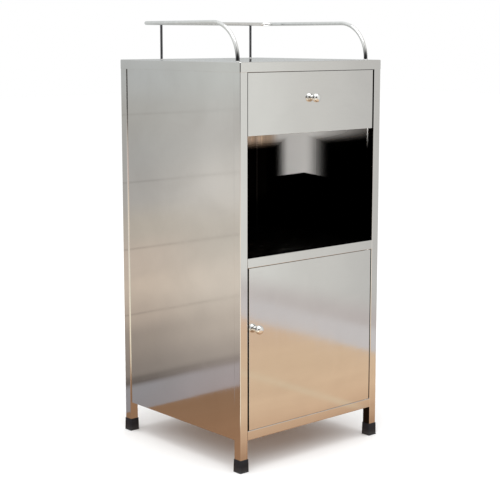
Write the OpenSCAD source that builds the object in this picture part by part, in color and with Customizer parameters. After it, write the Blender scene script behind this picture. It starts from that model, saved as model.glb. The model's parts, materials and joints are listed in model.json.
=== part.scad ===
// Stainless-steel bedside cabinet: a square-tube frame with sheet panels, a drawer on top,
// an open compartment in the middle, a cupboard with a pin-hinged door below, and a guard rail.
// Millimetres. +Z is up, the front faces -Y, and the floor is z = 0.
// The origin lies under the centre of the overall box, knobs and feet included.

/* [Body] */
// Width across the outer faces of the legs
body_w = 400; // [360:10:460]
// Depth across the outer faces of the legs
body_d = 400; // [380:10:460]
// Height of the top plate's upper face above the floor
top_z = 835; // [820:5:880]
// Thickness of the sheet panels
sheet = 0.8; // [0.8:0.1:1.2]
// How far the side and back panels sit in from the outer faces of the legs
panel_recess = 2.5; // [2.5:0.5:6]
// Depth of the top plate's folded skirt
skirt_h = 20; // [18:1:24]

/* [Frame] */
// Width of the square leg tube
leg_w = 20; // [18:1:22]
// Wall of the frame tubes
tube_wall = 1.2; // [1:0.1:1.5]
// Outer corner radius of the frame tubes
tube_corner = 1.7; // [1.4:0.1:2.4]
// Outer corner radius of the front rails
front_corner = 1.3; // [1.3:0.1:2]
// Height of the rails under the top plate
top_rail_h = 15; // [12:1:15]
// Height of the middle and bottom rails
rail_h = 20; // [16:1:24]
// Height of the body's lower edge above the floor
body_bottom_z = 66; // [60:2:90]
// Height of the open compartment's floor
shelf_z = 444; // [400:2:480]

/* [Feet] */
// Height of a rubber foot
foot_h = 27; // [22:1:32]
// Rubber under the end of the leg
foot_base = 6; // [4:1:8]
// How far a foot stands out from the leg at its upper edge
foot_top_flare = 1.4; // [1.2:0.1:2]
// How far a foot stands out from the leg at the floor
foot_bottom_flare = 2.2; // [2:0.1:3]

/* [Door] */
// Thickness of the door
door_t = 15; // [14:0.5:16]
// Gap between the door's sides and the legs
door_side_gap = 3.5; // [3.5:0.1:4]
// Gap above and below the door
door_end_gap = 0.5; // [0.5:0.1:1.5]
// Distance of the hinge pins from the door's edge
hinge_inset = 8; // [7.5:0.1:8]
// Radius of the hinge pins
pin_r = 3; // [2.5:0.1:3.5]
// Distance of the door knob from the door's free edge
door_knob_inset = 17.5; // [16:0.5:30]
// Height of the door knob
door_knob_z = 297; // [200:1:380]

/* [Drawer] */
// How far the drawer front sits behind the front faces of the legs
drawer_recess = 2; // [1.5:0.5:5]
// Height of the drawer front's lower edge
drawer_bottom_z = 689; // [680:1:700]
// Thickness of the drawer front
drawer_front_t = 15; // [14:0.5:16]
// Depth of the drawer box
tray_d = 335; // [280:5:340]
// Travel of the drawer
drawer_travel = 260; // [200:5:260]

/* [Knobs] */
// Radius of a knob's round head
knob_r = 9.5; // [8.5:0.5:11]
// How far a knob stands out from its panel
knob_reach = 20; // [18:0.5:24]
// Radius of a knob's neck
knob_neck_r = 4.5; // [4:0.5:5.5]

/* [Guard rail] */
// Diameter of the guard rail tube
guard_d = 8; // [7:0.5:10]
// Height of the guard rail's centre line above the top plate
guard_h = 78; // [78:1:100]
// Distance of the guard rail's sides from the outer faces of the legs
guard_side_inset = 18; // [15:1:30]
// Distance of the guard rail's front ends from the front faces of the legs
guard_front_inset = 28; // [20:1:40]
// Distance of the guard rail's rear bar from the rear faces of the legs
guard_rear_inset = 55; // [30:1:70]
// Bend radius where the guard rail comes down to the plate
guard_bend_r = 75; // [50:1:75]
// Bend radius of the guard rail's rear corners
guard_corner_r = 25; // [20:1:40]
// Diameter of the guard rail's rear posts
post_d = 5.5; // [5:0.5:8]
// Distance of a rear post from the cabinet's middle
post_x = 129; // [80:1:140]

/* [Hidden] */
$fn = 48;
steel = [0.74, 0.73, 0.71];
inner_steel = [0.62, 0.61, 0.60];
chrome = [0.86, 0.87, 0.88];
zinc = [0.66, 0.67, 0.68];
rubber = [0.10, 0.10, 0.11];
nylon = [0.88, 0.88, 0.85];

// planes of the frame
half_w = body_w / 2;
inner_w = half_w - leg_w;
front_y = -(body_d + foot_bottom_flare - knob_reach) / 2;
rear_y = front_y + body_d;
mid_y = front_y + body_d / 2;
bay_front_y = front_y + leg_w;
bay_rear_y = rear_y - leg_w;
bay_d = bay_rear_y - bay_front_y;
panel_outer = half_w - panel_recess;
panel_inner = panel_outer - sheet;
back_inner_y = rear_y - panel_recess - sheet;
side_rail_w = panel_inner - inner_w;
plate_under_z = top_z - sheet;
floor_z = body_bottom_z + rail_h;
mid_rail_z = shelf_z - rail_h;
skirt_z = top_z - skirt_h;

// shared small sizes
fit_gap = 0.05;
slide_gap = 0.3;
screw_r = 2;
screw_hole_r = screw_r + fit_gap;
screw_head_r = 3.5;
screw_head_h = 2;

// door
door_w = 2 * (inner_w - door_side_gap);
door_low_z = floor_z + door_end_gap;
door_high_z = mid_rail_z - door_end_gap;
door_h = door_high_z - door_low_z;
door_back_y = front_y + door_t;
hinge_x = door_w / 2 - hinge_inset;
hinge_y = front_y + door_t / 2;
pin_h = 12;
pin_tip = 1;
bush_r = pin_r + 2;
bush_h = pin_h;
bush_flange_r = bush_r + 1.6;
bush_flange_h = door_end_gap - 0.1;
door_knob_x = -door_w / 2 + door_knob_inset;

// magnetic catch, near the door's free edge
catch_x = -140;
catch_plate = [40, 1.5, 36];
catch_plate_z = mid_rail_z - rail_h;
catch_screw_x = 12;
catch_screw_z = mid_rail_z + rail_h / 2;
magnet = [36, 3.9, 16];
strike = [30, 0.8, 12];

// drawer
drawer_front_y = front_y + drawer_recess;
drawer_front_w = 2 * inner_w - 4;
drawer_top_z = skirt_z - 1;
drawer_front_h = drawer_top_z - drawer_bottom_z;
tray_front_y = drawer_front_y + drawer_front_t;
tray_half_w = inner_w - 14;
tray_low_z = drawer_bottom_z + 5;
tray_high_z = tray_low_z + 82.5;
hanger_w = inner_w - 2 - tray_half_w;
tray_screw_x = 120;
tray_screw_z = [tray_low_z + 16, tray_high_z - 12];
drawer_knob_z = 760;
glide_h = 4;
glide_w = 9;
runner_wall = 1.2;
runner_low_z = tray_high_z - sheet - glide_h - slide_gap - runner_wall;
runner_high_z = tray_high_z + 1 + runner_wall;
runner_reach = tray_half_w + 2;
stop_tab = [8, 3.5, 15];
stop_tab_y = tray_front_y + tray_d - stop_tab[1];
stop_plate_t = 2;
stop_plate_h = 13;
stop_plate_y = stop_tab_y - drawer_travel - 0.5 - stop_plate_t;

// knobs
knob_base_r = 6;
knob_base_h = 1.5;
knob_centre = knob_reach - knob_r;
knob_bore_h = 12;

// guard rail
guard_r = guard_d / 2;
guard_wall = 1.2;
guard_x = half_w - guard_side_inset;
guard_front_y = front_y + guard_front_inset;
guard_rear_y = rear_y - guard_rear_inset;
guard_z = top_z + guard_h;

// ---- shared shapes ----

// rectangle with round corners, about the origin
module round_rect(w, h, r) {
    square([w - 2 * r, h], center = true);
    square([w, h - 2 * r], center = true);
    for (x = [-1, 1], y = [-1, 1])
        translate([x * (w / 2 - r), y * (h / 2 - r)])
            circle(r);
}

// section of a frame tube, w by h outside
module tube_section(w, h, corner = tube_corner) {
    difference() {
        round_rect(w, h, corner);
        round_rect(w - 2 * tube_wall, h - 2 * tube_wall, max(corner - tube_wall, 0.1));
    }
}

// frame tube along X, d deep and h high, centred at the origin
module tube_along_x(length, d, h, corner = tube_corner) {
    rotate([90, 0, 90])
        linear_extrude(length, center = true)
            tube_section(d, h, corner);
}

// frame tube along Y, w wide and h high, centred at the origin
module tube_along_y(length, w, h) {
    rotate([90, 0, 0])
        linear_extrude(length, center = true)
            tube_section(w, h);
}

// block from its lowest corner to its highest
module block(low, high) {
    translate(low)
        cube(high - low);
}

// cylinder along +Y from the point given
module rod_y(at, r, length) {
    translate(at)
        rotate([-90, 0, 0])
            cylinder(r = r, h = length);
}

// block whose four sides lean in evenly towards its top
module tapered_block(bottom_w, top_w, h) {
    outline = [[-bottom_w / 2, 0], [bottom_w / 2, 0], [top_w / 2, h], [-top_w / 2, h]];
    intersection() {
        rotate([90, 0, 0])
            linear_extrude(bottom_w, center = true)
                polygon(outline);
        rotate([90, 0, 90])
            linear_extrude(bottom_w, center = true)
                polygon(outline);
    }
}

// shallow pan of folded sheet, open at the back: a front face with a return along each edge
module sheet_pan(low, high) {
    difference() {
        block(low, high);
        block(low + [sheet, sheet, sheet], high + [-sheet, 1, -sheet]);
    }
}

// flat back skin that closes a sheet pan, flush with the ends of its returns
module pan_lid(low, high) {
    block([low[0] + sheet, high[1] - sheet, low[2] + sheet], high - [sheet, 0, sheet]);
}

// pan-head screw along -Y, with its head's underside at the point given
module screw(at, length, r = screw_r) {
    rod_y(at - [0, length, 0], r, length);
    rod_y(at, screw_head_r, screw_head_h);
}

// round knob on a vertical panel, bored from behind for its screw
module knob(at) {
    translate(at)
        rotate([90, 0, 0])
            difference() {
                union() {
                    cylinder(r = knob_base_r, h = knob_base_h);
                    cylinder(r = knob_neck_r, h = knob_centre);
                    translate([0, 0, knob_centre])
                        sphere(knob_r);
                }
                cylinder(r = screw_hole_r, h = knob_bore_h);
            }
}

// ---- frame ----

// one leg, side -1 left or 1 right, at depth y
module leg(side, y) {
    color(steel)
        translate([side * (half_w - leg_w / 2), y, foot_base])
            linear_extrude(plate_under_z - foot_base)
                tube_section(leg_w, leg_w);
}

// one rubber foot: a tapered cup over the end of the leg
module foot(side, y) {
    color(rubber)
        translate([side * (half_w - leg_w / 2), y, 0])
            difference() {
                tapered_block(leg_w + 2 * foot_bottom_flare, leg_w + 2 * foot_top_flare, foot_h);
                translate([0, 0, foot_base])
                    linear_extrude(foot_h)
                        round_rect(leg_w + 2 * fit_gap, leg_w + 2 * fit_gap, tube_corner);
            }
}

module leg_front_left() leg(-1, front_y + leg_w / 2);
module leg_front_right() leg(1, front_y + leg_w / 2);
module leg_rear_left() leg(-1, rear_y - leg_w / 2);
module leg_rear_right() leg(1, rear_y - leg_w / 2);
module foot_front_left() foot(-1, front_y + leg_w / 2);
module foot_front_right() foot(1, front_y + leg_w / 2);
module foot_rear_left() foot(-1, rear_y - leg_w / 2);
module foot_rear_right() foot(1, rear_y - leg_w / 2);

// rail between the front legs, flush with their front faces
module front_rail(z, h) {
    color(steel)
        translate([0, front_y + leg_w / 2, z + h / 2])
            tube_along_x(2 * inner_w, leg_w, h, front_corner);
}

// rail between the rear legs, against the back panel
module rear_rail(z, h) {
    color(inner_steel)
        translate([0, back_inner_y - side_rail_w / 2, z + h / 2])
            tube_along_x(2 * inner_w, side_rail_w, h);
}

// rail between a front and a rear leg, against the side panel
module side_rail(side, z, h) {
    color(inner_steel)
        translate([side * (inner_w + side_rail_w / 2), mid_y, z + h / 2])
            tube_along_y(bay_d, side_rail_w, h);
}

// the rails under a sheet are lower by the sheet's thickness
module top_rail_front() front_rail(plate_under_z - top_rail_h, top_rail_h);
module top_rail_rear() rear_rail(plate_under_z - top_rail_h, top_rail_h);
module top_rail_left() side_rail(-1, plate_under_z - top_rail_h, top_rail_h);
module top_rail_right() side_rail(1, plate_under_z - top_rail_h, top_rail_h);
module mid_rail_rear() rear_rail(mid_rail_z, rail_h - sheet);
module mid_rail_left() side_rail(-1, mid_rail_z, rail_h - sheet);
module mid_rail_right() side_rail(1, mid_rail_z, rail_h - sheet);
module bottom_rail_front() front_rail(body_bottom_z, rail_h);
module bottom_rail_rear() rear_rail(body_bottom_z, rail_h - sheet);
module bottom_rail_left() side_rail(-1, body_bottom_z, rail_h - sheet);
module bottom_rail_right() side_rail(1, body_bottom_z, rail_h - sheet);

// the middle front rail is drilled at the back for the catch's screws
module mid_rail_front() {
    difference() {
        front_rail(mid_rail_z, rail_h);
        for (side = [-1, 1])
            rod_y(
                [catch_x + side * catch_screw_x, bay_front_y - leg_w / 2, catch_screw_z],
                screw_hole_r, leg_w
            );
    }
}

// ---- sheet metal ----

// top plate with a skirt folded down outside the legs
module top_plate() {
    color(steel)
        translate([0, mid_y, skirt_z])
            difference() {
                linear_extrude(skirt_h)
                    round_rect(body_w + 2 * sheet, body_d + 2 * sheet, tube_corner + sheet);
                translate([0, 0, -1])
                    linear_extrude(skirt_h - sheet + 1)
                        round_rect(body_w, body_d, tube_corner);
            }
}

module side_panel(side) {
    color(steel)
        translate([side * (panel_outer - sheet / 2), mid_y, (body_bottom_z + plate_under_z) / 2])
            cube([sheet, bay_d, plate_under_z - body_bottom_z], center = true);
}

module side_panel_left() side_panel(-1);
module side_panel_right() side_panel(1);

module back_panel() {
    color(steel)
        block([-inner_w, back_inner_y, body_bottom_z], [inner_w, back_inner_y + sheet, plate_under_z]);
}

// sheet on the side and rear rails, between the side panels and notched for the rear legs
module rail_sheet(top) {
    color(inner_steel)
        union() {
            block([-panel_inner, bay_front_y, top - sheet], [panel_inner, bay_rear_y, top]);
            block([-inner_w, bay_rear_y, top - sheet], [inner_w, back_inner_y, top]);
        }
}

module compartment_shelf() rail_sheet(shelf_z);
module bottom_panel() rail_sheet(floor_z);

// ---- guard rail ----

// the guard rail's route swept with a round section of radius r
module guard_sweep(r) {
    for (side = [0, 1])
        mirror([side, 0, 0]) {
            translate([-guard_x, guard_front_y, top_z])
                cylinder(r = r, h = guard_h - guard_bend_r);
            translate([-guard_x, guard_front_y + guard_bend_r, guard_z - guard_bend_r])
                rotate([90, 0, -90])
                    rotate_extrude(angle = 90)
                        translate([guard_bend_r, 0])
                            circle(r);
            rod_y(
                [-guard_x, guard_front_y + guard_bend_r, guard_z],
                r, guard_rear_y - guard_corner_r - guard_front_y - guard_bend_r
            );
            translate([-guard_x + guard_corner_r, guard_rear_y - guard_corner_r, guard_z])
                rotate([0, 0, 90])
                    rotate_extrude(angle = 90)
                        translate([guard_corner_r, 0])
                            circle(r);
        }
    guard_rear_bar(r);
}

module guard_rear_bar(r) {
    translate([0, guard_rear_y, guard_z])
        rotate([0, 90, 0])
            cylinder(r = r, h = 2 * (guard_x - guard_corner_r), center = true);
}

// bent tube, welded to the plate at its two front ends
module guard_rail() {
    color(chrome)
        difference() {
            guard_sweep(guard_r);
            guard_sweep(guard_r - guard_wall);
        }
}

// thin post under the rear bar, its upper end cut to the tube
module guard_post(side) {
    color(chrome)
        difference() {
            translate([side * post_x, guard_rear_y, top_z])
                cylinder(d = post_d, h = guard_h);
            guard_rear_bar(guard_r);
        }
}

module guard_post_left() guard_post(-1);
module guard_post_right() guard_post(1);

// ---- drawer runners, on the cabinet ----

// C-section rail against the side panel, open towards the drawer
module drawer_runner(side) {
    low = runner_low_z;
    high = runner_high_z;
    color(zinc)
        mirror([side > 0 ? 1 : 0, 0, 0])
            difference() {
                block([-panel_inner, bay_front_y, low], [-runner_reach, bay_rear_y, high]);
                block(
                    [-panel_inner + runner_wall, bay_front_y - 1, low + runner_wall],
                    [-runner_reach + 1, bay_rear_y + 1, high - runner_wall]
                );
            }
}

module drawer_runner_left() drawer_runner(-1);
module drawer_runner_right() drawer_runner(1);

// plates under the runners that the drawer's stop tabs meet at full travel
module runner_stops() {
    color(zinc)
        for (side = [0, 1])
            mirror([side, 0, 0])
                block(
                    [-panel_inner, stop_plate_y, runner_low_z - stop_plate_h],
                    [-runner_reach - 1, stop_plate_y + stop_plate_t, runner_low_z]
                );
}

// ---- hinge pins and catch, on the cabinet ----

// pin with a coned tip, standing on z = 0
module hinge_pin() {
    color(zinc)
        union() {
            cylinder(r = pin_r, h = pin_h - pin_tip);
            translate([0, 0, pin_h - pin_tip])
                cylinder(r1 = pin_r, r2 = pin_r - pin_tip, h = pin_tip);
        }
}

module hinge_pin_top() {
    translate([hinge_x, hinge_y, mid_rail_z])
        mirror([0, 0, 1])
            hinge_pin();
}

module hinge_pin_bottom() {
    translate([hinge_x, hinge_y, floor_z])
        hinge_pin();
}

// plate on the back of the middle front rail, hanging down behind the door
module catch_bracket() {
    low = [catch_x - catch_plate[0] / 2, bay_front_y, catch_plate_z];
    color(zinc)
        difference() {
            block(low, low + catch_plate);
            for (side = [-1, 1])
                rod_y(
                    [catch_x + side * catch_screw_x, bay_front_y - 1, catch_screw_z],
                    screw_hole_r, catch_plate[1] + 2
                );
        }
}

module catch_magnet() {
    low = [catch_x - magnet[0] / 2, bay_front_y - magnet[1], catch_plate_z + 1];
    color(rubber)
        block(low, low + magnet);
}

module catch_screws() {
    back = bay_front_y + catch_plate[1];
    color(zinc)
        for (side = [-1, 1])
            screw([catch_x + side * catch_screw_x, back, catch_screw_z], 6);
}

// ---- drawer ----

drawer_low = [-drawer_front_w / 2, drawer_front_y, drawer_bottom_z];
drawer_high = [drawer_front_w / 2, tray_front_y, drawer_top_z];

module drawer_front() {
    color(steel)
        difference() {
            sheet_pan(drawer_low, drawer_high);
            rod_y([0, drawer_front_y - 1, drawer_knob_z], screw_hole_r, sheet + 2);
        }
}

// holes for the screws that hold the drawer front to the box
module drawer_screw_holes() {
    for (x = [-tray_screw_x, tray_screw_x], z = tray_screw_z)
        rod_y([x, tray_front_y - 2 * sheet, z], screw_hole_r, 4 * sheet);
    rod_y([0, tray_front_y - 2 * sheet, drawer_knob_z], screw_hole_r, 4 * sheet);
}

module drawer_front_liner() {
    color(inner_steel)
        difference() {
            pan_lid(drawer_low, drawer_high);
            drawer_screw_holes();
        }
}

// the drawer's box, open at the top: a base sheet with four upright sheets welded on it
module drawer_base() {
    color(inner_steel)
        block(
            [-tray_half_w, tray_front_y, tray_low_z],
            [tray_half_w, tray_front_y + tray_d, tray_low_z + sheet]
        );
}

module drawer_box_front() {
    color(inner_steel)
        difference() {
            block(
                [-tray_half_w + sheet, tray_front_y, tray_low_z + sheet],
                [tray_half_w - sheet, tray_front_y + sheet, tray_high_z]
            );
            drawer_screw_holes();
        }
}

module drawer_box_back() {
    back_y = tray_front_y + tray_d;
    color(inner_steel)
        block(
            [-tray_half_w + sheet, back_y - sheet, tray_low_z + sheet],
            [tray_half_w - sheet, back_y, tray_high_z]
        );
}

// side sheet with a flange folded out along its upper edge, that hangs the drawer in the runner
module drawer_side(side) {
    color(inner_steel)
        mirror([side > 0 ? 1 : 0, 0, 0])
            translate([-tray_half_w, tray_front_y, 0])
                union() {
                    block([0, 0, tray_low_z + sheet], [sheet, tray_d, tray_high_z]);
                    block([-hanger_w, 0, tray_high_z - sheet], [sheet, tray_d, tray_high_z]);
                }
}

module drawer_side_left() drawer_side(-1);
module drawer_side_right() drawer_side(1);

// nylon strip under a side's flange, running in the C-section rail
module drawer_glide(side) {
    x = side * (tray_half_w + hanger_w - glide_w / 2 - 0.5);
    color(nylon)
        translate([x, tray_front_y + tray_d / 2, tray_high_z - sheet - glide_h / 2])
            cube([glide_w, tray_d, glide_h], center = true);
}

module drawer_glide_left() drawer_glide(-1);
module drawer_glide_right() drawer_glide(1);

// tabs on the drawer's sides, at the back, that meet the runners' stops
module drawer_stops() {
    high_z = runner_low_z - 2;
    color(zinc)
        for (side = [0, 1])
            mirror([side, 0, 0])
                block(
                    [-tray_half_w - stop_tab[0], stop_tab_y, high_z - stop_tab[2]],
                    [-tray_half_w, stop_tab_y + stop_tab[1], high_z]
                );
}

module drawer_front_screws() {
    color(zinc)
        for (x = [-tray_screw_x, tray_screw_x], z = tray_screw_z)
            screw([x, tray_front_y + sheet, z], 6);
}

module drawer_knob() {
    color(chrome)
        knob([0, drawer_front_y, drawer_knob_z]);
}

module drawer_knob_screw() {
    color(zinc)
        screw([0, tray_front_y + sheet, drawer_knob_z], drawer_front_t + sheet + knob_bore_h - 1);
}

// ---- door ----

door_low = [-door_w / 2, front_y, door_low_z];
door_high = [door_w / 2, door_back_y, door_high_z];

module door_outer_panel() {
    color(steel)
        difference() {
            sheet_pan(door_low, door_high);
            rod_y([door_knob_x, front_y - 1, door_knob_z], screw_hole_r, sheet + 2);
            translate([hinge_x, hinge_y, door_low_z - 1])
                cylinder(r = bush_r + fit_gap, h = door_h + 2);
        }
}

module door_inner_panel() {
    color(inner_steel)
        difference() {
            pan_lid(door_low, door_high);
            rod_y([door_knob_x, door_back_y - 2 * sheet, door_knob_z], screw_hole_r, 4 * sheet);
        }
}

// nylon bush with a flange, its flange's inner face at z = 0 and its body above
module hinge_bush() {
    color(nylon)
        difference() {
            union() {
                translate([0, 0, -bush_flange_h])
                    cylinder(r = bush_flange_r, h = bush_flange_h);
                cylinder(r = bush_r, h = bush_h);
            }
            translate([0, 0, -bush_flange_h - 1])
                cylinder(r = pin_r + fit_gap, h = bush_h + bush_flange_h + 2);
        }
}

module hinge_bush_bottom() {
    translate([hinge_x, hinge_y, door_low_z])
        hinge_bush();
}

module hinge_bush_top() {
    translate([hinge_x, hinge_y, door_high_z])
        mirror([0, 0, 1])
            hinge_bush();
}

// steel plate on the inner face of the door, opposite the magnet
module strike_plate() {
    low = [catch_x - strike[0] / 2, door_back_y, catch_plate_z + 1 + (magnet[2] - strike[2]) / 2];
    color(zinc)
        block(low, low + strike);
}

module door_knob() {
    color(chrome)
        knob([door_knob_x, front_y, door_knob_z]);
}

module door_knob_screw() {
    color(zinc)
        screw([door_knob_x, door_back_y, door_knob_z], door_t + knob_bore_h - 1);
}

leg_front_left();
leg_front_right();
leg_rear_left();
leg_rear_right();
foot_front_left();
foot_front_right();
foot_rear_left();
foot_rear_right();
top_plate();
top_rail_front();
top_rail_rear();
top_rail_left();
top_rail_right();
mid_rail_front();
mid_rail_rear();
mid_rail_left();
mid_rail_right();
bottom_rail_front();
bottom_rail_rear();
bottom_rail_left();
bottom_rail_right();
side_panel_left();
side_panel_right();
back_panel();
compartment_shelf();
bottom_panel();
drawer_runner_left();
drawer_runner_right();
runner_stops();
guard_rail();
guard_post_left();
guard_post_right();
hinge_pin_top();
hinge_pin_bottom();
catch_bracket();
catch_magnet();
catch_screws();
drawer_front();
drawer_front_liner();
drawer_base();
drawer_box_front();
drawer_box_back();
drawer_side_left();
drawer_side_right();
drawer_glide_left();
drawer_glide_right();
drawer_stops();
drawer_front_screws();
drawer_knob();
drawer_knob_screw();
door_outer_panel();
door_inner_panel();
hinge_bush_top();
hinge_bush_bottom();
strike_plate();
door_knob();
door_knob_screw();
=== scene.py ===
"""Looks of a stainless-steel bedside cabinet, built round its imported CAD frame.

Metres, +Z up, the drawer and the door face -Y.
"""

import json
import math

import bmesh
import bpy
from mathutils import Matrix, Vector


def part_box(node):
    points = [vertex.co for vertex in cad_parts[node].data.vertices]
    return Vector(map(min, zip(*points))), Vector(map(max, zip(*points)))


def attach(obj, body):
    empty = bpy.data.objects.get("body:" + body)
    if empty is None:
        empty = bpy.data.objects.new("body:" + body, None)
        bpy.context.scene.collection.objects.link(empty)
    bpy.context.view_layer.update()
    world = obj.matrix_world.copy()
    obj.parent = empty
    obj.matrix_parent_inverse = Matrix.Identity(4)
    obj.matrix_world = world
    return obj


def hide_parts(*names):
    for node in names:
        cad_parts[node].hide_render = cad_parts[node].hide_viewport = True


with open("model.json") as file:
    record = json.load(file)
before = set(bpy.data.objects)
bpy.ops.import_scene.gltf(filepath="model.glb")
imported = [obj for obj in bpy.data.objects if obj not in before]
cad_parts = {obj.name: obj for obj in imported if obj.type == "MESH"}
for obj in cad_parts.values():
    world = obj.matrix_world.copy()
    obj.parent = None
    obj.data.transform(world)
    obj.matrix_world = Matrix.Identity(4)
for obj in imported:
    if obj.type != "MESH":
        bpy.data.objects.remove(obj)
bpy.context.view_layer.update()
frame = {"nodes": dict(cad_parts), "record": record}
NODES = frame["nodes"]
SLOT_OF = {s["node"]: s["material_slot"] for s in frame["record"]["subparts"]}
SIDES = {"left": -1, "right": 1}
TURN = 2 * math.pi


# ---- shader helpers ----


def add(tree, kind, inputs=None, **settings):
    """A new shader node, its inputs set from numbers or linked from sockets."""
    made = tree.nodes.new("ShaderNode" + kind)
    for key, value in settings.items():
        setattr(made, key, value)
    for key, value in (inputs or {}).items():
        if isinstance(value, bpy.types.NodeSocket):
            tree.links.new(value, made.inputs[key])
        else:
            made.inputs[key].default_value = value
    return made


def maths(tree, operation, a, b=0.0, clamp=False):
    return add(tree, "Math", {0: a, 1: b}, operation=operation, use_clamp=clamp).outputs[0]


def remap(tree, value, low, high, to_low, to_high, smooth=False):
    kind = "SMOOTHSTEP" if smooth else "LINEAR"
    inputs = {"Value": value, "From Min": low, "From Max": high, "To Min": to_low, "To Max": to_high}
    return add(tree, "MapRange", inputs, interpolation_type=kind).outputs["Result"]


def blend(tree, factor, a, b):
    """Colour a where the factor is 0, and b where it is 1."""
    made = add(tree, "Mix", data_type="RGBA")
    for index, value in ((0, factor), (6, a), (7, b)):
        if isinstance(value, bpy.types.NodeSocket):
            tree.links.new(value, made.inputs[index])
        elif index == 0:
            made.inputs[index].default_value = value
        else:
            made.inputs[index].default_value = (*value, 1)
    return made.outputs[2]


def noise(tree, vector, scale, detail=2.0, roughness=0.5, distortion=0.0):
    inputs = {
        "Vector": vector, "Scale": scale, "Detail": detail,
        "Roughness": roughness, "Distortion": distortion,
    }
    return add(tree, "TexNoise", inputs).outputs["Fac"]


def stretched(tree, vector, scale):
    return add(tree, "Mapping", {"Vector": vector, "Scale": scale}).outputs[0]


def bump(tree, height, distance, normal=None):
    inputs = {"Height": height, "Distance": distance, "Strength": 1.0}
    if normal is not None:
        inputs["Normal"] = normal
    return add(tree, "Bump", inputs).outputs[0]


def surface(name, **settings):
    """A material with a Principled shader, and its object coordinates."""
    made = bpy.data.materials.new(name)
    made.use_nodes = True
    tree = made.node_tree
    tree.nodes.clear()
    shader = add(tree, "BsdfPrincipled", settings)
    tree.links.new(shader.outputs[0], add(tree, "OutputMaterial").inputs[0])
    place = add(tree, "TexCoord").outputs["Object"]
    return made, tree, shader, place


def wire(tree, shader, **links):
    for key, socket in links.items():
        tree.links.new(socket, shader.inputs[key.replace("_", " ")])


def srgb(r, g, b):
    """Linear values of a colour given as 0 to 255."""
    return tuple(((c / 255 + 0.055) / 1.055) ** 2.4 for c in (r, g, b))


# ---- materials ----


def steel(name, tint, dull, grain, rough, ripple, inner=None):
    """Cold-rolled stainless sheet: rolling grain, faint oil-canning, wiped smears and hairline scratches;
    with inner, painted shade and pale painted-reflection zones on the inner faces.
    """
    made, tree, shader, place = surface(name, **{"Metallic": 1.0})
    smear = noise(tree, place, 7.0, 5.0, 0.6, 0.8)
    rolled = noise(tree, stretched(tree, place, grain), 1.0, 3.0, 0.6)
    patch = noise(tree, place, 2.3, 2.0, 0.5, 0.3)
    hair = noise(tree, stretched(tree, place, (60.0, 40.0, 900.0)), 1.0, 2.0, 0.7)
    hair = remap(tree, hair, 0.70, 0.76, 0.0, 1.0)
    cloth = noise(tree, stretched(tree, place, (26.0, 18.0, 3.0)), 1.0, 4.0, 0.65, 1.4)
    colour = blend(tree, remap(tree, smear, 0.3, 0.7, 0.0, 1.0), dull, tint)
    colour = blend(tree, maths(tree, "MULTIPLY", rolled, 0.22), colour, tuple(c * 0.82 for c in tint))
    level = remap(tree, smear, 0.35, 0.75, rough, rough * 1.7)
    level = maths(tree, "ADD", level, remap(tree, rolled, 0.3, 0.7, -0.015, 0.02))
    level = maths(tree, "ADD", level, remap(tree, cloth, 0.55, 0.75, 0.0, 0.04))
    level = maths(tree, "ADD", level, maths(tree, "MULTIPLY", hair, 0.08), True)
    if inner is not None:
        inside, pale = inner(tree, place)
        # painted shade makes the inner faces near-black; the pale zones are a matt painted reflection, lit by
        # the beam lamp
        colour = blend(tree, inside, colour, PAINTED_INSIDE_SHADE)
        colour = blend(tree, pale, colour, painted_reflection_colour(tree, place))
        level = maths(tree, "MAXIMUM", level, maths(tree, "MULTIPLY", pale, 0.5))
        wire(tree, shader, Metallic=maths(tree, "SUBTRACT", 1.0, pale))
    height = bump(tree, patch, ripple)
    height = bump(tree, rolled, 0.000012, height)
    height = bump(tree, hair, -0.00001, height)
    wire(tree, shader, Base_Color=colour, Roughness=level, Normal=height)
    return made


def chrome_finish(name, bright=(0.90, 0.90, 0.89), dull=(0.80, 0.80, 0.79), painted_shade_heights=None):
    """Bright plating with handling smudges and polishing rings.

    The last argument is the pair of heights between which a painted shade clears from near-black to bright.
    """
    made, tree, shader, place = surface(name, **{"Metallic": 1.0})
    smudge = noise(tree, place, 60.0, 4.0, 0.6, 1.0)
    rings = noise(tree, stretched(tree, place, (900.0, 120.0, 900.0)), 1.0, 2.0)
    colour = blend(tree, remap(tree, smudge, 0.4, 0.7, 0.0, 1.0), bright, dull)
    if painted_shade_heights is not None:
        # painted shade: near-black below the first height, clearing to the plating above the second
        height = add(tree, "SeparateXYZ", {0: place}).outputs[2]
        colour = blend(tree, remap(tree, height, *painted_shade_heights, 0.0, 1.0, True), (0.07, 0.07, 0.075), colour)
    level = remap(tree, smudge, 0.4, 0.75, 0.035, 0.13)
    wire(tree, shader, Base_Color=colour, Roughness=level, Normal=bump(tree, rings, 0.000004))
    return made


def zinc_finish(name):
    """Zinc plate: a dull bluish grey with pale patches and fine pits."""
    made, tree, shader, place = surface(name, **{"Metallic": 1.0})
    cells = add(tree, "TexVoronoi", {"Vector": place, "Scale": 260.0}).outputs["Color"]
    cells = add(tree, "SeparateColor", {0: cells}).outputs[0]
    stain = noise(tree, place, 35.0, 4.0, 0.6, 0.5)
    colour = blend(tree, cells, (0.50, 0.52, 0.55), (0.62, 0.63, 0.64))
    colour = blend(tree, remap(tree, stain, 0.5, 0.7, 0.0, 0.5), colour, (0.60, 0.55, 0.42))
    level = remap(tree, stain, 0.3, 0.7, 0.28, 0.46)
    pits = bump(tree, noise(tree, place, 1400.0, 2.0), 0.00002)
    wire(tree, shader, Base_Color=colour, Roughness=level, Normal=pits)
    return made


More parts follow.
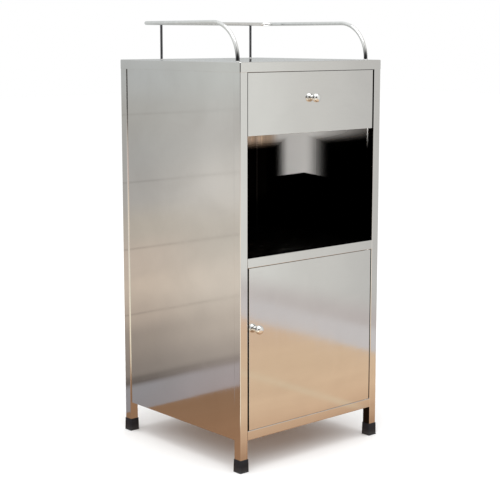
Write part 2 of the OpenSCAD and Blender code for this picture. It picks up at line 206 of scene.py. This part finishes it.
def rubber_finish(name):
    """Moulded black rubber with a fine grain, dusty towards the floor."""
    made, tree, shader, place = surface(name, **{"Specular IOR Level": 0.2})
    height = add(tree, "SeparateXYZ", {0: place}).outputs[2]
    low_down = remap(tree, height, 0.0, 0.014, 1.0, 0.0)
    dust = maths(tree, "MULTIPLY", low_down, noise(tree, place, 220.0, 5.0, 0.7))
    scuff = remap(tree, noise(tree, place, 90.0, 4.0, 0.7, 1.0), 0.58, 0.72, 0.0, 0.35)
    colour = blend(tree, dust, (0.014, 0.015, 0.019), (0.075, 0.074, 0.074))
    colour = blend(tree, scuff, colour, (0.040, 0.041, 0.046))
    level = remap(tree, noise(tree, place, 400.0, 3.0), 0.3, 0.7, 0.42, 0.62)
    grain = bump(tree, noise(tree, place, 1500.0, 3.0, 0.6), 0.00006)
    wire(tree, shader, Base_Color=colour, Roughness=level, Normal=grain)
    return made


def plastic_finish(name, clean, worn, grain_scale, rough):
    made, tree, shader, place = surface(name)
    mottle = noise(tree, place, 70.0, 4.0, 0.6)
    colour = blend(tree, remap(tree, mottle, 0.35, 0.7, 0.0, 1.0), clean, worn)
    level = remap(tree, mottle, 0.3, 0.7, rough, rough + 0.15)
    grain = bump(tree, noise(tree, place, grain_scale, 2.0), 0.00003)
    wire(tree, shader, Base_Color=colour, Roughness=level, Normal=grain)
    return made


# painted colours of the inner faces: painted shade, a pale painted reflection, and its brownish streaks
PAINTED_INSIDE_SHADE = (0.022, 0.020, 0.019)
PALE_PAINTED_REFLECTION = (0.86, 0.838, 0.808)
BROWN_PAINTED_REFLECTION = (0.52, 0.38, 0.29)
PANEL_MID_X = sum(abs(v.x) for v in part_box("side_panel_right")) / 2
BODY_FRONT_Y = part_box("leg_front_right")[0].y
BODY_REAR_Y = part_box("leg_rear_right")[1].y
BAY_FRONT_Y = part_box("leg_front_right")[1].y
BAY_REAR_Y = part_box("leg_rear_right")[0].y
BACK_MID_Y = sum(v.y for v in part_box("back_panel")) / 2
TOP_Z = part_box("top_plate")[1].z
SHELF_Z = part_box("compartment_shelf")[1].z
BODY_LOW_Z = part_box("bottom_rail_front")[0].z
SHEET = SHELF_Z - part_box("compartment_shelf")[0].z
DRAWER_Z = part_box("drawer_front")[0].z

# edges of the pale painted-reflection zones on the compartment's inner faces
PATCH_BACK_Y = BAY_REAR_Y - 0.068
PATCH_PEAK_Y = BAY_REAR_Y - 0.1465
PATCH_FRONT_Y = BAY_REAR_Y - 0.189
PATCH_PEAK_Z = DRAWER_Z - 0.1165
BAND_LOW_Z = DRAWER_Z - 0.052


def facing_in(tree, place):
    """Masks of the faces that look into the cabinet, which get painted shade, and of their pale
    painted-reflection zones.
    """
    x, y, z = add(tree, "SeparateXYZ", {0: place}).outputs
    inside_x = maths(tree, "LESS_THAN", maths(tree, "ABSOLUTE", x), PANEL_MID_X)
    behind_front = maths(tree, "GREATER_THAN", y, BODY_FRONT_Y + 0.0004)
    before_back = maths(tree, "LESS_THAN", y, BODY_REAR_Y - 0.0004)
    inside = maths(tree, "MULTIPLY", maths(tree, "MULTIPLY", inside_x, behind_front), before_back)
    inside = maths(tree, "MULTIPLY", inside, outside_cupboard(tree, x, z))
    return inside, maths(tree, "MULTIPLY", inside, painted_reflection_mask(tree, x, y, z))


def outside_cupboard(tree, x, z):
    """1 above the shelf, and on the right legs below the body, where the inner faces get painted shade."""
    above = maths(tree, "GREATER_THAN", z, SHELF_Z - SHEET)
    right_leg = maths(tree, "MULTIPLY", maths(tree, "LESS_THAN", z, BODY_LOW_Z),
                      maths(tree, "GREATER_THAN", x, 0.0))
    return maths(tree, "MAXIMUM", above, right_leg)


def back_facing_in(tree, place):
    """The same masks of painted shade and painted reflection on the back panel, whose outer face is bright.
    """
    x, y, z = add(tree, "SeparateXYZ", {0: place}).outputs
    inside = maths(tree, "LESS_THAN", y, BACK_MID_Y)
    inside = maths(tree, "MULTIPLY", inside, outside_cupboard(tree, x, z))
    return inside, maths(tree, "MULTIPLY", inside, painted_reflection_mask(tree, x, y, z))


def painted_reflection_mask(tree, x, y, z):
    """Where the inner faces get a pale painted reflection: a tall patch at mid-depth and a band under the
    drawer.
    """
    tall = maths(
        tree, "MULTIPLY",
        remap(tree, y, PATCH_BACK_Y - 0.027, PATCH_BACK_Y + 0.027, 1.0, 0.0, True),
        remap(tree, y, PATCH_FRONT_Y - 0.043, PATCH_FRONT_Y + 0.043, 0.0, 1.0, True),
    )
    from_peak = maths(tree, "SUBTRACT", y, PATCH_PEAK_Y)
    edge = maths(
        tree, "MINIMUM",
        maths(tree, "MULTIPLY", from_peak, -0.174),
        maths(tree, "MULTIPLY", from_peak, 0.062),
    )
    above = maths(tree, "SUBTRACT", z, maths(tree, "ADD", edge, PATCH_PEAK_Z))
    tall = maths(tree, "MULTIPLY", tall, remap(tree, above, -0.0015, 0.0015, 0.0, 1.0, True))
    rise = maths(tree, "MULTIPLY", maths(tree, "SUBTRACT", BAY_REAR_Y - 0.029, y), 0.119)
    above = maths(tree, "SUBTRACT", z, maths(tree, "ADD", rise, BAND_LOW_Z))
    band = remap(tree, above, -0.018, 0.010, 0.0, 1.0, True)
    band = maths(tree, "MULTIPLY", band, remap(tree, y, BAY_FRONT_Y, BAY_FRONT_Y + 0.19, 0.25, 1.0))
    band = maths(tree, "MULTIPLY", band, maths(tree, "GREATER_THAN", y, BAY_FRONT_Y))
    strip = maths(tree, "MULTIPLY", remap(tree, above, -0.034, 0.014, 0.0, 1.0),
                  remap(tree, y, BAY_FRONT_Y - 0.006, BAY_FRONT_Y - 0.003, 0.0, 1.0))
    strip = maths(tree, "MULTIPLY", strip, maths(tree, "LESS_THAN", y, BAY_FRONT_Y))
    both = maths(tree, "MAXIMUM", tall, maths(tree, "MAXIMUM", band, strip))
    over_shelf = maths(tree, "GREATER_THAN", z, SHELF_Z)
    under_drawer = maths(tree, "LESS_THAN", z, DRAWER_Z)
    return maths(tree, "MULTIPLY", both, maths(tree, "MULTIPLY", over_shelf, under_drawer))


def painted_reflection_colour(tree, place):
    """Colour of the painted reflection: pale, with brownish upright streaks towards the back."""
    y = add(tree, "SeparateXYZ", {0: place}).outputs[1]
    streak = noise(tree, stretched(tree, place, (170.0, 170.0, 4.0)), 1.0, 2.0)
    brown = blend(tree, remap(tree, streak, 0.35, 0.65, 0.0, 0.6), BROWN_PAINTED_REFLECTION, (0.78, 0.60, 0.42))
    towards_back = remap(tree, y, BAY_REAR_Y - 0.065, BAY_REAR_Y - 0.025, 0.0, 1.0, True)
    return blend(tree, towards_back, PALE_PAINTED_REFLECTION, brown)


UPRIGHT_GRAIN = (700.0, 700.0, 30.0)
LEVEL_GRAIN = (30.0, 700.0, 700.0)
FINISH = {
    "stainless_outer": steel(
        "stainless_outer", (0.78, 0.775, 0.765), (0.74, 0.735, 0.725), UPRIGHT_GRAIN, 0.055, 0.0009, facing_in
    ),
    # the stainless_inner sheets are painted near-black: painted shade inside the cabinet
    "stainless_inner": steel(
        "stainless_inner", (0.060, 0.057, 0.054), (0.045, 0.043, 0.041), LEVEL_GRAIN, 0.16, 0.0004
    ),
    "chrome": chrome_finish("chrome"),
    "plated_steel": zinc_finish("plated_steel"),
    "foot_rubber": rubber_finish("foot_rubber"),
    "magnet_block": plastic_finish("magnet_block", (0.02, 0.02, 0.022), (0.035, 0.035, 0.037), 900.0, 0.5),
    "nylon": plastic_finish("nylon", (0.80, 0.79, 0.74), (0.70, 0.68, 0.61), 700.0, 0.38),
}
PLAIN_STEEL = steel(
    "stainless_open", (0.78, 0.775, 0.765), (0.74, 0.735, 0.725), LEVEL_GRAIN, 0.065, 0.0009
)
INNER_STEEL = steel(
    "stainless_inner_bright", (0.62, 0.615, 0.605), (0.55, 0.545, 0.535), LEVEL_GRAIN, 0.15, 0.0006
)
BACK_STEEL = steel(
    "stainless_back", (0.70, 0.695, 0.685), (0.64, 0.635, 0.625), UPRIGHT_GRAIN, 0.11, 0.0009, back_facing_in
)
# the guard rail is painted near-black just above the top plate: painted shade where its ends meet the plate
CHROME_RAIL = chrome_finish("chrome_rail", painted_shade_heights=(TOP_Z + 0.006, TOP_Z + 0.034))
# the posts are the chrome painted dark: a painted dark reflection
CHROME_POST_PAINTED_DARK = chrome_finish("chrome_post_painted_dark", (0.17, 0.17, 0.18), (0.11, 0.11, 0.12))


def coat(obj, finish):
    obj.data.materials.clear()
    obj.data.materials.append(finish)


def paint(obj, slot_name, finish=None):
    coat(obj, finish or FINISH[slot_name])


# ---- finish of the CAD nodes ----

OPEN_STEEL = (
    "drawer_front", "door_outer_panel", "top_plate", "top_rail_front", "mid_rail_front", "bottom_rail_front",
)
BRIGHT_INSIDE = (
    "bottom_panel", "bottom_rail_rear", "bottom_rail_left", "bottom_rail_right",
    "mid_rail_rear", "mid_rail_left", "mid_rail_right", "door_inner_panel", "drawer_front_liner",
    "drawer_base", "drawer_box_front", "drawer_box_back", "drawer_side_left", "drawer_side_right",
)
OWN_FINISH = {
    **dict.fromkeys(OPEN_STEEL, PLAIN_STEEL),
    **dict.fromkeys(BRIGHT_INSIDE, INNER_STEEL),
    "back_panel": BACK_STEEL,
    "guard_rail": CHROME_RAIL,
    "guard_post_left": CHROME_POST_PAINTED_DARK,
    "guard_post_right": CHROME_POST_PAINTED_DARK,
}

for name, obj in NODES.items():
    coat(obj, OWN_FINISH.get(name, FINISH[SLOT_OF[name]]))


# ---- mesh helpers ----


def mesh_piece(name, points, faces, body, slot_name, finish=None):
    mesh = bpy.data.meshes.new(name)
    mesh.from_pydata([tuple(p) for p in points], [], faces)
    mesh.validate()
    mesh.shade_smooth()
    made = bpy.data.objects.new(name, mesh)
    bpy.context.scene.collection.objects.link(made)
    paint(made, slot_name, finish)
    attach(made, body)
    return made


def loft(rings, capped=True):
    """Points and faces of a skin over closed rings with the same number of points."""
    count = len(rings[0])
    points = [p for ring in rings for p in ring]
    faces = []
    for i in range(len(rings) - 1):
        for k in range(count):
            n = (k + 1) % count
            a = i * count
            faces.append((a + k, a + n, a + count + n, a + count + k))
    if capped:
        faces.append(tuple(reversed(range(count))))
        faces.append(tuple(range((len(rings) - 1) * count, len(rings) * count)))
    return points, faces


def even_normals(obj):
    """Keeps the flat faces flat next to their rounded folds."""
    obj.modifiers.new("even_normals", "WEIGHTED_NORMAL").keep_sharp = True


def round_square(half, radius, z, centre, steps=6):
    """Closed ring of a square with round corners, at height z."""
    ring = []
    for quarter, (sx, sy) in enumerate(((1, 1), (-1, 1), (-1, -1), (1, -1))):
        for i in range(steps + 1):
            angle = (quarter + i / steps) * TURN / 4
            ring.append((
                centre[0] + sx * (half - radius) + radius * math.cos(angle),
                centre[1] + sy * (half - radius) + radius * math.sin(angle),
                z,
            ))
    return ring


def lathe(profile, at, axis, steps=56):
    """Rings about the axis through at, for a profile of (radius, distance along the axis)."""
    turn = Vector((0, 0, 1)).rotation_difference(Vector(axis)).to_matrix()
    rings = []
    for radius, along in profile:
        rings.append([
            Vector(at) + turn @ Vector((
                radius * math.cos(TURN * k / steps), radius * math.sin(TURN * k / steps), along
            ))
            for k in range(steps)
        ])
    return rings


# ---- folded sheet ----


def sheet_pan(name, node, body, fold):
    """Front skin folded back along its four edges, with real fold radii and closed corners."""
    low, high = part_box(node)
    mesh = bpy.data.meshes.new(name)
    work = bmesh.new()
    bmesh.ops.create_cube(work, size=1.0)
    bmesh.ops.scale(work, verts=work.verts, vec=high - low)
    bmesh.ops.translate(work, verts=work.verts, vec=(low + high) / 2)
    back = [f for f in work.faces if f.normal.y > 0.5]
    bmesh.ops.delete(work, geom=back, context="FACES_ONLY")
    sharp = [e for e in work.edges if len(e.link_faces) == 2]
    bmesh.ops.bevel(work, geom=sharp, offset=fold, segments=4, profile=0.5, affect="EDGES")
    work.to_mesh(mesh)
    work.free()
    mesh.shade_smooth()
    made = bpy.data.objects.new(name, mesh)
    bpy.context.scene.collection.objects.link(made)
    skin = made.modifiers.new("sheet", "SOLIDIFY")
    skin.thickness = SHEET
    skin.offset = -1
    even_normals(made)
    paint(made, "stainless_outer", PLAIN_STEEL)
    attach(made, body)
    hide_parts(node)


FRONT_FOLD = 0.0004
sheet_pan("drawer_front_folded", "drawer_front", "drawer", FRONT_FOLD)
sheet_pan("door_front_folded", "door_outer_panel", "door", FRONT_FOLD)


def folded_top():
    """Top plate with its skirt: rounded folds, welded and dressed corners."""
    low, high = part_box("top_plate")
    half = (high.x - low.x) / 2
    centre = ((low.x + high.x) / 2, (low.y + high.y) / 2)
    fold = 0.0016
    corner = 0.0034
    rings = [
        round_square(half - 0.030, corner, high.z - SHEET, centre),
        round_square(half - SHEET - 0.0010, corner - SHEET, high.z - SHEET, centre),
        round_square(half - SHEET, corner - SHEET, high.z - SHEET - 0.0010, centre),
        round_square(half - SHEET, corner - SHEET, low.z, centre),
        round_square(half, corner, low.z, centre),
        round_square(half, corner, low.z + 0.0004, centre),
    ]
    for i in range(7):
        angle = math.pi / 2 * i / 6
        inward = fold * (1 - math.cos(angle))
        down = fold * (1 - math.sin(angle))
        rings.append(round_square(half - inward, corner - inward * 0.6, high.z - down, centre))
    rings.append(round_square(half - fold - 0.0015, corner - 0.0012, high.z, centre))
    points, faces = loft(rings)
    made = mesh_piece("top_plate_folded", points, faces, "cabinet", "stainless_outer", PLAIN_STEEL)
    even_normals(made)
    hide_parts("top_plate")


folded_top()


# ---- knobs ----


def knob(name, node, body):
    """Turned knob: a stepped foot, a waisted neck and a slightly flattened ball."""
    low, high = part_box(node)
    centre = (low + high) / 2
    ball_r = (high.x - low.x) / 2
    reach = high.y - low.y
    ball_at = reach - ball_r
    profile = [(0.0002, 0.0), (0.0056, 0.0), (0.0060, 0.0002), (0.0060, 0.0007), (0.0055, 0.0010)]
    profile += [(0.0047, 0.0012), (0.0042, 0.0016), (0.0041, 0.0021), (0.0044, 0.0026)]
    start = math.asin(0.0052 / ball_r)
    for i in range(25):
        angle = start + (math.pi - start) * i / 24
        flat = 1 - 0.10 * max(0.0, -math.cos(angle)) ** 2
        radius = max(0.0002, ball_r * math.sin(angle))
        profile.append((radius, ball_at - ball_r * math.cos(angle) * flat))
    points, faces = loft(lathe(profile, (centre.x, high.y, centre.z), (0, -1, 0)))
    made = mesh_piece(name, points, faces, body, "chrome")
    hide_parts(node)


knob("drawer_knob_turned", "drawer_knob", "drawer")
knob("door_knob_turned", "door_knob", "door")


# ---- feet ----


def foot(name, node):
    """Moulded rubber cup: tapered, with a rolled lip at the top and a worn lower edge."""
    low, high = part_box(node)
    centre = ((low.x + high.x) / 2, (low.y + high.y) / 2)
    bottom = (high.x - low.x) / 2
    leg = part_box(node.replace("foot", "leg"))
    leg_half = (leg[1].x - leg[0].x) / 2
    top = leg_half + 0.0014
    tall = high.z - low.z
    profile = [
        (bottom - 0.0010, 0.0, 0.0026), (bottom - 0.0004, 0.0002, 0.0030), (bottom, 0.0009, 0.0032),
        (bottom - 0.0001, 0.0022, 0.0032), (bottom - 0.0006, 0.0026, 0.0030),
        (bottom - 0.0006, 0.0032, 0.0030), (bottom - 0.0002, 0.0036, 0.0032),
        (top + 0.0001, tall - 0.0040, 0.0030), (top + 0.0001, tall - 0.0012, 0.0030),
        (top - 0.0002, tall - 0.0004, 0.0029), (top - 0.0007, tall, 0.0027),
        (leg_half + 0.0001, tall - 0.0002, 0.0021), (leg_half - 0.0004, tall - 0.0015, 0.0016),
    ]
    rings = [round_square(half, radius, low.z + z, centre) for half, z, radius in profile]
    points, faces = loft(rings)
    made = mesh_piece(name, points, faces, "cabinet", "foot_rubber")
    edge = made.modifiers.new("round_edge", "BEVEL")
    edge.width = 0.0002
    edge.segments = 2
    edge.limit_method = "ANGLE"
    edge.angle_limit = math.radians(50)
    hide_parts(node)


for end in ("front", "rear"):
    for side in SIDES:
        foot(f"rubber_foot_{end}_{side}", f"foot_{end}_{side}")


# ---- welds round the guard rail's ends and posts ----


def weld_ring(name, at, radius, size):
    """Small dressed fillet weld round an upright on the top plate."""
    profile = []
    for i in range(9):
        angle = math.pi / 2 * i / 8
        profile.append((radius + size * (1 - math.sin(angle)), size * (1 - math.cos(angle))))
    steps = 40
    middle_rings = (3, 4, 5)
    rings = lathe(profile, at, (0, 0, 1), steps)
    for i in middle_rings:
        for k, p in enumerate(rings[i]):
            wobble = 1 + 0.10 * math.sin(5 * TURN * k / steps + i) + 0.06 * math.sin(13 * TURN * k / steps)
            rings[i][k] = Vector(at) + (p - Vector(at)) * wobble
    points, faces = loft(rings, capped=False)
    mesh_piece(name, points, faces, "cabinet", "stainless_outer", PLAIN_STEEL)


GUARD_TUBE_R = 0.004
rail_low, rail_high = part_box("guard_rail")
for side, sign in SIDES.items():
    rail_end = (sign * (rail_high.x - GUARD_TUBE_R), rail_low.y + GUARD_TUBE_R, TOP_Z)
    weld_ring(f"weld_guard_{side}", rail_end, GUARD_TUBE_R, 0.0016)
    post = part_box(f"guard_post_{side}")
    centre = (post[0] + post[1]) / 2
    weld_ring(f"weld_post_{side}", (centre.x, centre.y, TOP_Z), (post[1].x - post[0].x) / 2, 0.0012)


# ---- stage: a pale floor, and reflectors that only the polished metal sees ----


def panel(name, corners, finish):
    mesh = bpy.data.meshes.new(name)
    mesh.from_pydata(corners, [], [tuple(range(len(corners)))])
    made = bpy.data.objects.new(name, mesh)
    bpy.context.scene.collection.objects.link(made)
    mesh.materials.append(finish)
    return made


def only_reflected(obj):
    obj.visible_camera = False
    obj.visible_diffuse = False
    obj.visible_transmission = False
    obj.visible_volume_scatter = False
    obj.visible_shadow = False


def glow(name):
    """An emission material, with the position in the room."""
    made = bpy.data.materials.new(name)
    made.use_nodes = True
    tree = made.node_tree
    tree.nodes.clear()
    shader = add(tree, "Emission", {"Strength": 1.0})
    tree.links.new(shader.outputs[0], add(tree, "OutputMaterial").inputs[0])
    where = add(tree, "SeparateXYZ", {0: add(tree, "NewGeometry").outputs["Position"]})
    return made, tree, shader, where.outputs


STEEL_REFLECTANCE = 0.755


def seen(r, g, b):
    """Radiance of a card that looks this colour in the steel."""
    return tuple(c / STEEL_REFLECTANCE for c in srgb(r, g, b))


def ramp(tree, value, low, high, stops):
    """Colour ramp over a length in metres; stops are (position, colour)."""
    made = add(tree, "ValToRGB", {0: remap(tree, value, low, high, 0.0, 1.0)})
    bar = made.color_ramp
    bar.interpolation = "EASE"
    while len(bar.elements) < len(stops):
        bar.elements.new(0.5)
    for element, (position, colour) in zip(bar.elements, stops):
        element.position = (position - low) / (high - low)
        element.color = (*colour, 1)
    return made.outputs[0]


BACK_WALL_Y = 0.3065
RIGHT_WALL_X = 0.740
HALF_TILE = 0.0785


def back_wall_finish():
    made, tree, shader, (x, y, z) = glow("reflector_back")
    near = ramp(tree, z, 0.0, 1.6, [
        (0.000, seen(138, 134, 136)), (0.060, seen(140, 138, 141)), (0.066, seen(92, 84, 80)),
        (0.078, seen(104, 96, 91)), (0.091, seen(131, 122, 115)), (0.180, seen(150, 139, 129)),
        (0.235, seen(177, 163, 150)), (0.300, seen(196, 181, 166)), (0.370, seen(192, 178, 165)),
        (0.440, seen(178, 170, 159)), (0.520, seen(168, 165, 161)), (0.610, seen(165, 164, 161)),
        (0.700, seen(168, 167, 163)), (0.800, seen(173, 175, 174)), (0.900, seen(188, 191, 191)),
        (1.600, seen(218, 220, 220)),
    ])
    far = ramp(tree, z, 0.0, 1.6, [
        (0.000, seen(160, 150, 150)), (0.060, seen(162, 154, 154)), (0.066, seen(138, 128, 123)),
        (0.080, seen(148, 138, 131)), (0.095, seen(162, 152, 143)), (0.170, seen(184, 173, 162)),
        (0.280, seen(206, 196, 184)), (0.400, seen(194, 187, 177)), (0.520, seen(202, 198, 192)),
        (0.650, seen(186, 184, 180)), (0.800, seen(189, 191, 188)), (1.600, seen(222, 224, 224)),
    ])
    across = remap(tree, x, -0.28, -0.60, 0.0, 1.0, True)
    colour = blend(tree, across, near, far)
    joint = maths(tree, "PINGPONG", z, HALF_TILE)
    joint = remap(tree, joint, 0.0750, 0.0780, 0.0, 1.0, True)
    strength = maths(tree, "MULTIPLY", joint, remap(tree, z, 0.45, 0.85, 0.26, 0.05))
    colour = blend(tree, strength, colour, seen(96, 90, 84))
    place = add(tree, "CombineXYZ", {0: x, 1: 0.0, 2: z}).outputs[0]
    shade = remap(tree, noise(tree, place, 7.0, 3.0, 0.6, 0.5), 0.40, 0.72, 0.0, 0.18)
    colour = blend(tree, shade, colour, seen(136, 130, 124))
    tree.links.new(colour, shader.inputs["Color"])
    return made


def right_wall_finish():
    made, tree, shader, (x, y, z) = glow("reflector_right")
    colour = ramp(tree, y, -1.6, 0.6, [
        (-1.60, seen(214, 214, 210)), (-1.20, seen(209, 209, 205)), (-0.95, seen(198, 197, 193)),
        (-0.70, seen(186, 185, 182)), (0.60, seen(178, 178, 176)),
    ])
    low = remap(tree, z, 0.085, 0.17, 0.85, 0.0, True)
    colour = blend(tree, low, colour, seen(182, 174, 172))
    skirting = remap(tree, z, 0.060, 0.078, 1.0, 0.0, True)
    colour = blend(tree, skirting, colour, seen(194, 190, 190))
    tree.links.new(colour, shader.inputs["Color"])
    return made


# Level unit normal and offset of the upright plane through the rear left slot and the camera.
SIGHT_X = 0.815
SIGHT_Y = -0.58
SIGHT_OFFSET = 0.279
SUNLIGHT_NEAR = (1.55, 1.48, 1.22)
SUNLIGHT_FAR = (1.19, 1.03, 0.83)


def floor_glow_finish():
    """Wooden floor with one light streak, and sunlight where the recessed slots mirror it."""
    made, tree, shader, (x, y, z) = glow("reflector_floor")
    place = add(tree, "CombineXYZ", {0: x, 1: y, 2: 0.0}).outputs[0]
    front = ramp(tree, y, -3.0, -0.2, [
        (-3.00, seen(222, 219, 214)), (-2.10, seen(216, 208, 200)), (-1.30, seen(208, 180, 155)),
        (-0.80, seen(207, 180, 151)), (-0.20, seen(214, 182, 151)),
    ])
    rear = ramp(tree, y, -0.45, 0.31, [
        (-0.45, seen(168, 132, 104)), (-0.10, seen(148, 113, 86)), (0.31, seen(136, 106, 82)),
    ])
    colour = blend(tree, remap(tree, y, -0.55, -0.15, 0.0, 1.0, True), front, rear)
    away = remap(tree, x, -0.75, -1.7, 0.0, 1.0, True)
    colour = blend(tree, away, colour, seen(214, 207, 198))
    streak = maths(tree, "ABSOLUTE", maths(tree, "SUBTRACT", x, 0.32))
    streak = maths(tree, "MULTIPLY", remap(tree, streak, 0.006, 0.030, 0.35, 0.0, True),
                   remap(tree, y, -0.40, -0.30, 1.0, 0.0, True))
    colour = blend(tree, streak, colour, seen(214, 204, 178))
    across = maths(tree, "ADD", maths(tree, "MULTIPLY", x, SIGHT_X), maths(tree, "MULTIPLY", y, SIGHT_Y))
    signed = maths(tree, "ADD", across, SIGHT_OFFSET)
    beside = maths(tree, "ABSOLUTE", signed)
    sunlit = maths(tree, "MULTIPLY", remap(tree, x, -0.45, -0.58, 0.0, 1.0, True),
                   remap(tree, beside, 0.24, 0.40, 1.0, 0.0, True))
    # the shade beside the cabinet, which its left face mirrors
    clear_of_shade = maths(tree, "MAXIMUM", remap(tree, signed, -0.16, -0.09, 0.0, 1.0, True),
                           remap(tree, x, -0.80, -1.20, 0.0, 1.0, True))
    sunlit = maths(tree, "MULTIPLY", sunlit, clear_of_shade)
    sunny = blend(tree, remap(tree, x, -1.30, -1.80, 0.0, 1.0, True), SUNLIGHT_NEAR, SUNLIGHT_FAR)
    colour = blend(tree, sunlit, colour, sunny)
    board = noise(tree, stretched(tree, place, (3.0, 22.0, 1.0)), 1.0, 3.0, 0.6, 0.4)
    colour = blend(tree, remap(tree, board, 0.4, 0.7, 0.0, 0.12), colour, seen(120, 86, 60))
    tree.links.new(colour, shader.inputs["Color"])
    return made


def room_finish(name, low_colour, high_colour, low, high):
    """A side of the room, lighter upwards."""
    made, tree, shader, where = glow(name)
    colour = blend(tree, remap(tree, where[2], low, high, 0.0, 1.0, True), low_colour, high_colour)
    tree.links.new(colour, shader.inputs["Color"])
    return made


def doorway_finish():
    """The dark doorway across the room, with daylight on the floor before it."""
    made, tree, shader, (x, y, z) = glow("reflector_dark")
    dark = seen(26, 25, 24)
    colour = ramp(tree, z, 0.0, 2.0, [
        (0.00, SUNLIGHT_FAR), (0.15, (1.08, 0.93, 0.77)), (0.30, (0.91, 0.72, 0.66)),
        (0.42, (0.65, 0.57, 0.49)), (0.50, (0.20, 0.17, 0.15)), (0.57, dark), (1.30, dark),
        (2.00, seen(150, 150, 150)),
    ])
    tree.links.new(colour, shader.inputs["Color"])
    return made


ROOM = 3.4
CEILING_Z = 2.7
DOORWAY_ENDS = ((-2.89, -1.33), (-0.91, -3.01))


def room_side(name, start, end, finish):
    """Upright card between two points on the floor, as high as the room."""
    return panel(name, [(*start, 0.0), (*end, 0.0), (*end, CEILING_Z), (*start, CEILING_Z)], finish)


def level_card(name, z, finish):
    corners = [
        (-ROOM, -ROOM, z), (RIGHT_WALL_X, -ROOM, z),
        (RIGHT_WALL_X, BACK_WALL_Y, z), (-ROOM, BACK_WALL_Y, z),
    ]
    return panel(name, corners, finish)


mid_grey = seen(188, 187, 184)
pale_grey = seen(214, 215, 215)
cards = [
    level_card("reflector_floor", 0.0005, floor_glow_finish()),
    level_card("reflector_ceiling", CEILING_Z,
               room_finish("reflector_ceiling", pale_grey, pale_grey, 0.0, 1.0)),
    room_side("reflector_back", (-ROOM, BACK_WALL_Y), (RIGHT_WALL_X, BACK_WALL_Y), back_wall_finish()),
    room_side("reflector_right", (RIGHT_WALL_X, BACK_WALL_Y), (RIGHT_WALL_X, -ROOM), right_wall_finish()),
    room_side("reflector_front", (-ROOM, -ROOM), (RIGHT_WALL_X, -ROOM),
              room_finish("reflector_front", mid_grey, pale_grey, 0.9, 2.2)),
    room_side("reflector_left", (-ROOM, BACK_WALL_Y), (-ROOM, -ROOM),
              room_finish("reflector_left", mid_grey, pale_grey, 0.9, 2.2)),
    room_side("reflector_dark", *DOORWAY_ENDS, doorway_finish()),
]
for card in cards:
    only_reflected(card)

floor_mat, floor_tree, floor_shader, floor_place = surface("pale_floor", **{"Roughness": 0.9})
floor_tone = noise(floor_tree, floor_place, 3.0, 3.0)
floor_tone = blend(floor_tree, floor_tone, (0.93, 0.93, 0.93), (0.95, 0.95, 0.945))
wire(floor_tree, floor_shader, Base_Color=floor_tone)
floor_shader.inputs["Specular IOR Level"].default_value = 0.0
reach = 14.0
floor_corners = [(-reach, -reach, 0), (reach, -reach, 0), (reach, reach, 0), (-reach, reach, 0)]
ground = panel("pale_floor", floor_corners, floor_mat)
ground.visible_glossy = False


# ---- light ----


def softbox(name, at, aim, size, power):
    lamp = bpy.data.lights.new(name, "AREA")
    lamp.shape = "RECTANGLE"
    lamp.size, lamp.size_y = size
    lamp.energy = power
    made = bpy.data.objects.new(name, lamp)
    made.location = at
    made.rotation_euler = (Vector(aim) - Vector(at)).to_track_quat("-Z", "Y").to_euler()
    bpy.context.scene.collection.objects.link(made)


middle = (0.0, 0.0, TOP_Z / 2)
softbox("soft_top", (-0.2, -0.3, 2.5), middle, (2.0, 2.0), 24.0)
softbox("soft_front", (-2.6, -2.2, 2.2), middle, (1.4, 1.4), 20.0)

# a narrow lamp for the pale zones inside the open compartment
BEAM_AT = (-1.60, -1.83, 0.84)
opening = (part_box("side_panel_right")[0].x, (PATCH_PEAK_Y + BAY_FRONT_Y) / 2, PATCH_PEAK_Z)
beam = bpy.data.lights.new("beam_into_compartment", "SPOT")
beam.energy = 150.0
beam.spot_size = math.radians(12)
beam.spot_blend = 0.5
beam.shadow_soft_size = 0.02
aimed = bpy.data.objects.new("beam_into_compartment", beam)
aimed.location = BEAM_AT
aimed.rotation_euler = (Vector(opening) - aimed.location).to_track_quat("-Z", "Y").to_euler()
aimed.visible_glossy = False
aimed.visible_camera = False
bpy.context.scene.collection.objects.link(aimed)

sky = bpy.data.lights.new("soft_sky", "SUN")
sky.energy = 0.32
sky.angle = math.radians(60)
overhead = bpy.data.objects.new("soft_sky", sky)
overhead.rotation_euler = Vector((0.3, 0.3, -1.0)).to_track_quat("-Z", "Y").to_euler()
bpy.context.scene.collection.objects.link(overhead)

world = bpy.data.worlds.new("studio")
world.use_nodes = True
bpy.context.scene.world = world
world.node_tree.nodes["Background"].inputs["Color"].default_value = (1.0, 1.0, 1.0, 1)
world.node_tree.nodes["Background"].inputs["Strength"].default_value = 1.0
bpy.context.scene.view_settings.view_transform = "Standard"


# ---- camera ----

camera_data = bpy.data.cameras.new("camera")
camera_data.sensor_width = 36.0
camera_data.lens = 90.125
camera_data.shift_y = -0.045
camera_data.clip_start = 0.05
camera = bpy.data.objects.new("camera", camera_data)
camera.location = (-1.8027, -2.0507, 0.88225)
yaw = 0.7192
pitch = 0.1506
ahead = Vector((math.sin(yaw) * math.cos(pitch), math.cos(yaw) * math.cos(pitch), -math.sin(pitch)))
camera.rotation_euler = ahead.to_track_quat("-Z", "Y").to_euler()
bpy.context.scene.collection.objects.link(camera)
bpy.context.scene.camera = camera
